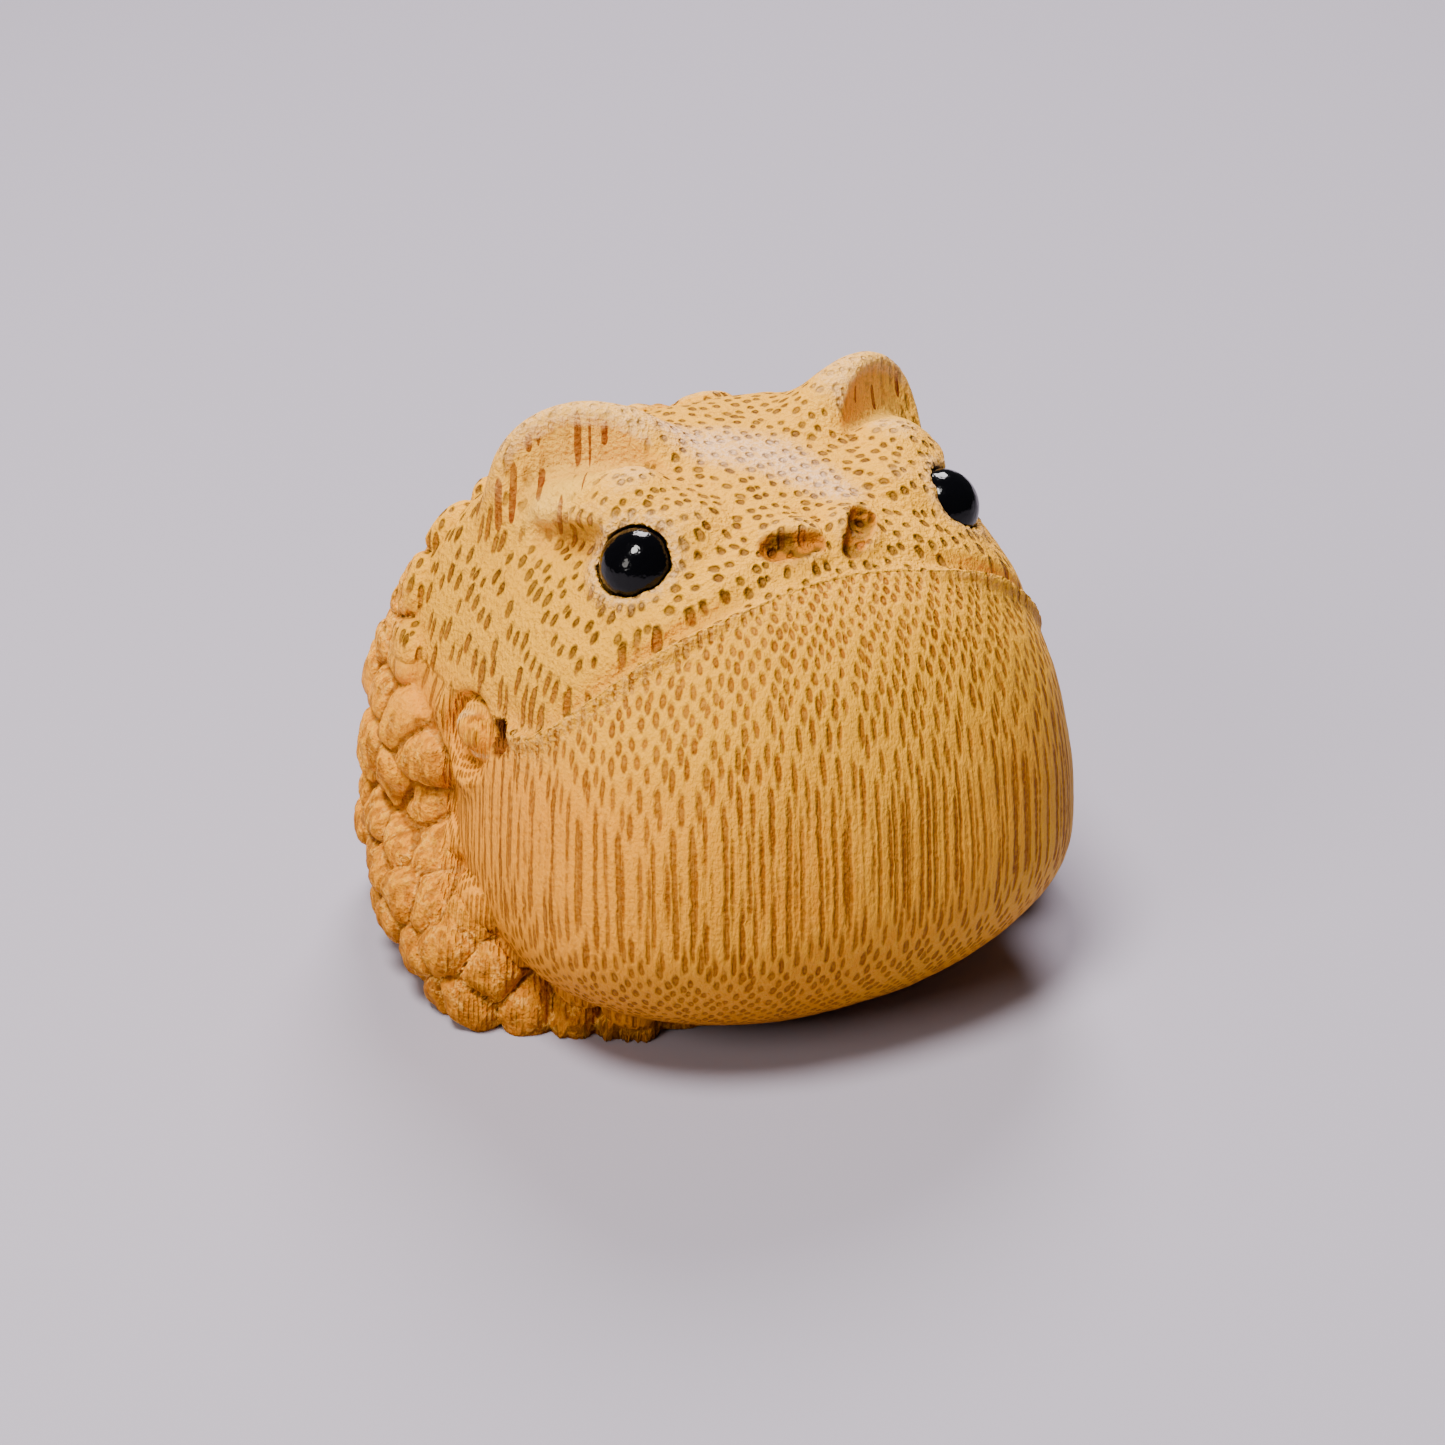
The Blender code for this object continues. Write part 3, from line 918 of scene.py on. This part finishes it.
def cells_at(spot, scale, scatter, output):
    """Scattered cells in a plane across the fibres, one for each bundle."""
    return spot.node("ShaderNodeTexVoronoi", {"voronoi_dimensions": "2D"},
                     {"Vector": spot, "Scale": scale, "Randomness": scatter}, output=output)


def lots_of(cell_colour):
    """Two numbers from 0 to 1 that every bundle draws for itself."""
    return [cell_colour.node("ShaderNodeSeparateColor", inputs={0: cell_colour}, output=i) for i in (0, 1)]


# %% [markdown]
# ## Bundles of the head and back
# On the head the knife met the fibres at every angle, and the bundles look scattered,
# about half a millimetre apart. A cell pattern in two dimensions gives each bundle a
# middle, and all that is nearer to it than a radius is in the bundle.

# %% Scattered bundles
HEAD_CELLS = 2.0
HEAD_SCATTER = 0.65


def scattered_bundles(radius):
    """How deep a point lies inside its bundle, and what the bundle drew."""
    away = cells_at(wander, HEAD_CELLS, HEAD_SCATTER, "Distance")
    lots = lots_of(cells_at(wander, HEAD_CELLS, HEAD_SCATTER, "Color"))
    return radius + 0.12 * (lots[0] - 0.5) + 0.26 * (frayed - 0.5) - away, lots


scattered, scattered_lots = scattered_bundles(0.245 + 0.03 * ease(level, 0.6, 0.2))

# %% [markdown]
# ## Bundles of the belly
# On the belly two sets of rows alternate, the second standing in the gaps of the first.
# Where the skin is steep its bundles are drawn out, because a column is cut lengthwise
# there. The outer side of each bundle is darker, as in a bamboo's wall.

# %% Rows of bundles
ROWS_ALONG = 2.0
ROWS_DEEP = 2.5
ROW_SCATTER = 0.4
SWAY = (0.5, 0.2, 0.0)
belly = ease(marked("belly"), 0.42, 0.58)
swaying = clouds(drift, 0.5, 2.0, "Color")
row_place = wood_wires.node("ShaderNodeVectorMath", {"operation": "MULTIPLY_ADD"},
                            {0: swaying, 1: SWAY, 2: marked("belly_rows", "Vector")})
along, depth, _ = parts_of(row_place)


def row_bundles(shift, radius):
    """One set of rows: how deep a point lies inside a bundle, its lots, and the way in."""
    spot = wood_wires.node("ShaderNodeCombineXYZ", inputs={
        0: along * ROWS_ALONG + shift, 1: depth * ROWS_DEEP + (shift + 0.375)})
    middle = cells_at(spot, 1.0, ROW_SCATTER, "Position")
    lots = lots_of(cells_at(spot, 1.0, ROW_SCATTER, "Color"))
    offset = wood_wires.node("ShaderNodeVectorMath", {"operation": "SUBTRACT"}, {0: middle, 1: spot})
    aside, inward, _ = parts_of(offset)
    drawn_out = 0.2 + 0.35 * ease(level, 0.1, 0.35)
    away = (aside * aside + drawn_out * inward * inward).maths("SQRT")
    return radius + 0.06 * (lots[0] - 0.5) + 0.15 * (frayed - 0.5) - away, lots, inward


# %% The nearer bundle of the two sets
thick = 0.205 - 0.03 * ease(level, 0.45, 0.15)
first, first_lots, first_inward = row_bundles(0.0, thick)
second, second_lots, second_inward = row_bundles(0.5, thick)
later = ease(second - first, -0.01, 0.01)
row_lots = [one + later * (other - one) for one, other in zip(first_lots, second_lots)]
in_rows = first + later * (second - first)
outer_side = belly * ease(first_inward + later * (second_inward - first_inward), 0.02, 0.22)
print("nodes with both sets of rows", len(bamboo.node_tree.nodes))

# %% Head and belly together
depth_inside = scattered + belly * (in_rows - scattered)
bundle = ease(depth_inside, -0.035, 0.07)
core = ease(depth_inside, 0.08, 0.22)
chance = scattered_lots[0] + belly * (row_lots[0] - scattered_lots[0])
other_chance = scattered_lots[1] + belly * (row_lots[1] - scattered_lots[1])

# %% [markdown]
# ## Ground colour
# The wood between the bundles is golden: more orange on the toad's right and paler over
# the brow. A little olive is painted on its left as shade, the side that lies away from
# the warm lamp. Broad clouds and fine fibres keep it from looking painted. The renderer
# pales bright orange, so the tones here are deeper than they look.

# %% Ground of the bamboo
HONEY = colour("F49A0C")
LIGHT_HONEY = colour("F8A818")
FIBRE_STRAW = colour("FFBC2C")
RIGHT_AMBER = colour("F69A12")
OLIVE_SHADE_LEFT = colour("D0A228")
BROW_GOLD = colour("F8B01A")
broad = clouds(place, 0.16, 2.0)
fibres = clouds(stretched(place, (9.0, 9.0, 0.7)), 1.0, 3.0)
ground = tint(ease(broad, 0.35, 0.65), HONEY, LIGHT_HONEY)
ground = tint(ease(fibres, 0.35, 0.75) * 0.45, ground, FIBRE_STRAW)
ground = tint(ease(x, -3.0, -10.0) * ease(z, 14.0, 10.0) * 0.8, ground, RIGHT_AMBER)
# painted shade: the toad's left is tinted olive and a little darker
ground = tint(ease(x, 3.0, 12.0) * 0.8, ground, OLIVE_SHADE_LEFT)
ground = tint(ease(z, 9.5, 13.0) * 0.8, ground, BROW_GOLD)

# %% [markdown]
# ## Colour of the bundles
# A bundle is dark brown where it is cut square across, a lighter brown where it is cut
# along, and lighter again in its middle. Its outer side holds the hardest, darkest
# fibres. Every bundle draws its own shade, because no two are alike.

# %% Browns of the bundles
brown = tint(chance, colour("AC5E04"), colour("8C4602"))
brown = tint((1.0 - belly) * ease(level, 0.2, 0.6) * 0.9, brown, colour("522E02"))
brown = tint(core * (0.1 + 0.35 * belly), brown, colour("C88410"))
brown = tint(outer_side * ease(level, 0.1, 0.4) * 0.7, brown, colour("703A02"))

# %% [markdown]
# ## Warts
# The warts and the legs are rubbed golden on top, with short soft stripes where fibres
# end, and the low parts are painted browner: partly a deeper tone of the wood, partly
# painted shade.

# %% Golden warts
on_warts = marked("warty")
wart_top = marked("wart_top")
crumbs = clouds(place, 4.5, 4.0)
stripes = clouds(stretched(place, (3.6, 3.6, 0.3)), 1.0, 1.0)
golden = tint(ease(crumbs, 0.4, 0.7), colour("EE9408"), colour("FCB01C"))
golden = tint(ease(stripes, 0.49, 0.58) * 0.8, golden, colour("AC5E06"))
wood = tint(on_warts * 0.8, ground, golden)
# partly painted shade: the body turns browner towards the bottom
wood = tint(ease(z, 6.0, 0.5) * 0.65, wood, colour("A85A08"))

# %% [markdown]
# ## Streaks on the horns
# The fronts of the horns are cut down the fibres, and each shows a handful of long
# red-brown streaks. They are so few and so plain to see that each is listed one by one:
# its side of the toad, how far across the horn's face it is, where it ends below and
# above, and half its width.

# %% Horn streaks
HORN_STREAKS = (
    (-1, 4.35, 18.0, 19.8, 0.12), (-1, 3.96, 18.0, 19.6, 0.045), (-1, 3.48, 18.7, 19.6, 0.11),
    (-1, 5.94, 18.4, 19.0, 0.11), (-1, 5.62, 18.6, 19.1, 0.05), (-1, 6.41, 16.3, 18.1, 0.12),
    (-1, 6.89, 15.9, 17.6, 0.14), (-1, 5.50, 17.3, 17.9, 0.12), (-1, 4.63, 16.5, 17.7, 0.09),
    (1, 6.10, 18.0, 19.3, 0.11), (1, 4.61, 18.0, 18.9, 0.10), (1, 3.45, 18.6, 19.2, 0.07))
on_horn = marked("horn_face")
across_face = 0.86 * abs(x) + 0.52 * y
horn_streak = 0.0
for side, across, low, high, half in HORN_STREAKS:
    aside = (across_face - across) * (1.0 / half)
    rise = (z - 0.5 * (low + high)) * (2.0 / (high - low))
    inside = 1.1 - (aside * aside + rise * rise * rise * rise).maths("SQRT") + 0.5 * (frayed - 0.5)
    horn_streak = larger(ease(inside, 0.0, 0.2) * ease(side * x, 0.5, 1.0), horn_streak)
horn_streak = horn_streak * ease(0.5 * abs(x) - 0.86 * y, 2.4, 2.8)
print("horn streaks", len(HORN_STREAKS))

# %% Bundles over the wood
on_lobe = marked("lobe")
wood = tint(on_horn * 0.7, wood, colour("FFC650"))
brown = tint(horn_streak * 0.9, brown, colour("7E2A02"))
bundle = bundle * (1.0 - on_horn) * ease(on_lobe, 0.45, 0.25)
bundle = larger(bundle, horn_streak)
finished = tint(bundle * (0.98 - 0.50 * on_warts) * (0.8 + 0.2 * other_chance), wood, brown)

# %% [markdown]
# ## Scraped edges and the lobes
# Freshly scraped bamboo is pale and matt. It shows in the valleys between the warts and
# along the lip, broken up by a fine grit so that it looks scratched, not painted. The
# lobe at the mouth corner is golden with a pale rim.

# %% Scraped places
grit = clouds(place, 7.0, 3.0)
streaked = clouds(place, 1.6, 1.0)
on_lip = marked("lip")
valley = on_warts * ease(wart_top, 0.55, 0.20)
patches = on_warts * (0.8 * ease(streaked, 0.50, 0.62) + 0.5 * ease(z, 7.0, 11.0))
scraped = (1.2 * valley + 0.8 * on_lip + 0.55 * patches + 0.14) * ease(grit, 0.42, 0.62)
finished = tint(scraped, finished, colour("FFB84C"))

# %% Lobes of the mouth corners
pale_rim = ease(marked("lobe_rim"), 0.5, 0.9) * (0.4 + 0.6 * ease(grit, 0.4, 0.6))
finished = tint(ease(on_lobe, 0.50, 0.72) * 0.9, finished, golden)
finished = tint(pale_rim, finished, colour("FFC670"))

# %% [markdown]
# ## Painted shade in the folds, and worn edges
# Small flecks make the carving look used. The folds are painted dark as shade where the
# skin lies deep, the rims pale with what stands out, and the band on the forehead is a
# painted sheen.

# %% Painted shade in the folds, and flecks
stands_out = marked("stands_out")
flecks = ease(crumbs, 0.55, 0.68) * (1.0 - belly) * (0.4 - 0.2 * on_warts)
# painted shade: the narrow valleys between the warts are tinted dark
crevice_shade = on_warts * ease(wart_top, 0.24, 0.04)
finished = tint(flecks, finished, colour("B06C14"))
finished = tint(crevice_shade * 0.7, finished, colour("6E3404"))
# painted shade: what lies deep is darkened, most on the warts
finished = tint(ease(stands_out, 0.42, 0.20) * (0.15 + 0.55 * on_warts), finished, colour("7E3C04"))

# %% Worn edges and the painted sheen on the forehead
high_up = ease(z, 14.0, 18.5)
rim_worn = ease(stands_out, 0.62, 0.78) * high_up * (1.0 - on_warts) * (0.3 + 0.7 * ease(z, 17.8, 18.8))
finished = tint(rim_worn * (0.3 + 0.5 * ease(grit, 0.40, 0.60)), finished, colour("FFC478"))
# painted highlight: a pale sheen band slantwise over the forehead
finished = tint(marked("painted_forehead_sheen") * (0.3 + 0.5 * ease(grit, 0.38, 0.62)), finished, colour("FFCCA0"))

# %% Painted shade of the crease, hole and nostrils, and the eye rims
on_rim = marked("eye_rim")
# painted shade inside the nostrils, dark brown with some orange
nostril_shade = tint(ease(streaked, 0.42, 0.55), colour("4A2206"), colour("B4600E"))
# painted shade in the crease under the brow
finished = tint(marked("crease_shade") * (0.65 + 0.35 * ease(grit, 0.4, 0.6)), finished, colour("662006"))
# painted shade inside the hole at each mouth corner
finished = tint(marked("hole") * 0.9, finished, colour("64260A"))
finished = tint(on_rim * (0.25 + 0.6 * ease(grit, 0.42, 0.58)), finished, colour("FFC680"))
finished = tint(marked("pit") * 0.8, finished, nostril_shade)
print("nodes that make the colour", len(bamboo.node_tree.nodes))

# %% [markdown]
# ## Relief and sheen of the bamboo
# A cut bundle is full of open tubes and lies a little deeper than the wood, most on the
# head, and scraped skin is crumbly. All this is finer than the mesh, so it goes into a
# bump of about a tenth of a millimetre. The surface is satin, drier on the warts.

# %% Relief of the bamboo
RELIEF_DEPTH = 0.1
scratches = clouds(stretched(place, (14.0, 14.0, 5.0)), 1.0, 3.0)
loose = on_warts + on_lip + on_rim + 0.9 * (1.0 - belly) * (1.0 - on_warts)
pitted = (0.9 + 1.3 * (1.0 - belly)) * ease(depth_inside, -0.1, 0.12) * (1.0 - on_horn)
relief = 0.5 * fibres + 0.7 * scratches - pitted + (0.6 + 1.1 * loose) * grit + (0.4 + 1.0 * loose) * crumbs
bump = wood_wires.node("ShaderNodeBump", inputs={
    "Strength": 0.8, "Distance": RELIEF_DEPTH * MM, "Height": relief})

# %% Finished bamboo on the body
sheen = 0.46 + 0.12 * bundle + 0.18 * on_warts + 0.1 * crumbs
feed(bamboo_shader, Base_Color=finished, Roughness=sheen, Normal=bump, IOR=1.4,
     Specular_IOR_Level=0.12)
body.data.materials.clear()
body.data.materials.append(bamboo)
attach(body, "root")
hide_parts("toad_body")
print("bamboo nodes", len(bamboo.node_tree.nodes))

# %% [markdown]
# ## Bead eyes
# The eyes are black beads, polished and let in. A real bead is not quite a ball: it is
# ground, with a drill hole, which here faces down into the socket. Its polish is a
# little uneven, which breaks up the reflections of the lights.

# %% Black bead material
black, black_shader, bead_wires = material("black_bead")
bead_place = bead_wires.node("ShaderNodeTexCoord", output="Object")
cloudy = clouds(bead_place, 900.0, 2.0)
ground_marks = clouds(bead_place, 3200.0, 2.0)
uneven = bead_wires.node("ShaderNodeBump", inputs={
    "Strength": 1.0, "Distance": 0.00003, "Height": ground_marks})
feed(black_shader, Base_Color=tint(cloudy, colour("020203"), colour("060609")),
     Roughness=0.07 + 0.06 * cloudy, Normal=uneven, IOR=1.42, Specular_IOR_Level=0.3)
print("black bead nodes", len(black.node_tree.nodes))

# %% Shape of a bead
DRILL = 0.28
DRILL_EDGE = 0.08
DRILL_DEPTH = 0.5
GROUND_OFF = 0.004
FLATS_TO_A_METRE = 900.0


def bead(name, centre, side):
    """Ground bead with a drill hole along its gaze, the mouth of the hole at the back."""
    radius = BEAD * MM
    form = bmesh.new()
    bmesh.ops.create_uvsphere(form, u_segments=72, v_segments=48, radius=radius)
    for vertex in form.verts:
        across = math.hypot(vertex.co.x, vertex.co.y) / radius
        if vertex.co.z < 0.0 and across < DRILL:
            vertex.co.z += DRILL_DEPTH * radius * min(1.0, (DRILL - across) / DRILL_EDGE)
        vertex.co += GROUND_OFF * radius * noise.noise_vector(vertex.co * FLATS_TO_A_METRE)
    look = Vector((side * gaze[0], gaze[1], gaze[2]))
    turned = look.to_track_quat("Z", "Y").to_matrix().to_4x4()
    bmesh.ops.transform(form, matrix=turned, verts=form.verts)
    bmesh.ops.translate(form, vec=centre, verts=form.verts)
    bead_mesh = bpy.data.meshes.new(name)
    form.to_mesh(bead_mesh)
    form.free()
    bead_mesh.shade_smooth()
    bead_mesh.materials.append(black)
    made = bpy.data.objects.new(name, bead_mesh)
    bpy.context.scene.collection.objects.link(made)
    return made


# %% Beads in their sockets
for name, side in (("eye_right", -1.0), ("eye_left", 1.0)):
    made = bead("bead_" + name, bead_centres[name], side)
    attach(made, "root")
    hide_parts(name)
    print(made.name, "at", [round(c / MM, 2) for c in bead_centres[name]])

# %% [markdown]
# ## Floor
# A plain pale floor carries the shadow and lights the underside a little. It is far
# wider than the view, so its edge is never seen.

# %% Floor
FLOOR_HALF_WIDTH = 0.6
floor_mesh = bpy.data.meshes.new("floor")
form = bmesh.new()
bmesh.ops.create_grid(form, x_segments=1, y_segments=1, size=FLOOR_HALF_WIDTH)
form.to_mesh(floor_mesh)
form.free()
floor = bpy.data.objects.new("floor", floor_mesh)
bpy.context.scene.collection.objects.link(floor)
pale, pale_shader, _ = material("pale_floor")
feed(pale_shader, Base_Color=(0.36, 0.33, 0.39, 1.0), Roughness=0.9)
floor_mesh.materials.append(pale)

# %% [markdown]
# ## Light
# The photograph was taken by a window, in soft light. One lamp above and to the toad's
# right gives the bright brow, one behind it to the left gives the shadow in front, and
# a weak one lifts the warts on the right, as a pale wall would. Round lamps of 10 to
# 14 cm are large beside a toad of 25 mm, so every shadow is soft.

# %% Lights


def soft_light(name, place, target, size, watts, tone):
    lamp = bpy.data.lights.new(name, "AREA")
    lamp.shape = "DISK"
    lamp.size = size
    lamp.energy = watts
    lamp.color = tone
    made = bpy.data.objects.new(name, lamp)
    made.location = place
    made.rotation_euler = (Vector(target) - Vector(place)).to_track_quat("-Z", "Y").to_euler()
    bpy.context.scene.collection.objects.link(made)


soft_light("window_above", (-0.09, -0.05, 0.28), (0.0, 0.0, 0.010), 0.10, 1.5, (1.0, 0.98, 0.95))
soft_light("window_behind", (0.11, 0.19, 0.26), (0.0, 0.0, 0.012), 0.14, 1.45, (1.0, 0.95, 0.97))
soft_light("wall_left", (-0.23, -0.09, 0.16), (0.0, 0.0, 0.008), 0.12, 0.38, (1.0, 0.96, 0.90))

# %% Light of the room
world = bpy.data.worlds.new("studio")
world.use_nodes = True
world.node_tree.nodes["Background"].inputs["Color"].default_value = (0.95, 0.94, 1.0, 1.0)
world.node_tree.nodes["Background"].inputs["Strength"].default_value = 0.05
bpy.context.scene.world = world

# %% [markdown]
# ## Camera
# The photograph was taken close, from the toad's right and a little above. The camera
# looks along the same line: so many degrees round from the toad's front, and so many
# down. Its lens is given by the photograph's width and focal length, both in pixels.

# %% Camera
VIEW_ROUND = math.radians(26.0)
VIEW_DOWN = math.radians(27.5)
VIEW_DISTANCE = 0.1
PHOTO_WIDTH = 1445.0
PHOTO_FOCAL = 2800.0
looks_at = Vector((0.001334, 0.002694, 0.005785))
view = Vector((math.sin(VIEW_ROUND) * math.cos(VIEW_DOWN), math.cos(VIEW_ROUND) * math.cos(VIEW_DOWN),
               -math.sin(VIEW_DOWN)))
camera = bpy.data.objects.new("camera", bpy.data.cameras.new("camera"))
camera.data.sensor_width = 36.0
camera.data.lens = camera.data.sensor_width * PHOTO_FOCAL / PHOTO_WIDTH
camera.data.clip_start = 0.001
camera.location = looks_at - VIEW_DISTANCE * view
camera.rotation_euler = view.to_track_quat("-Z", "Y").to_euler()
bpy.context.scene.collection.objects.link(camera)
bpy.context.scene.camera = camera
print("camera at", [round(c, 4) for c in camera.location], "lens", round(camera.data.lens, 1), "mm")
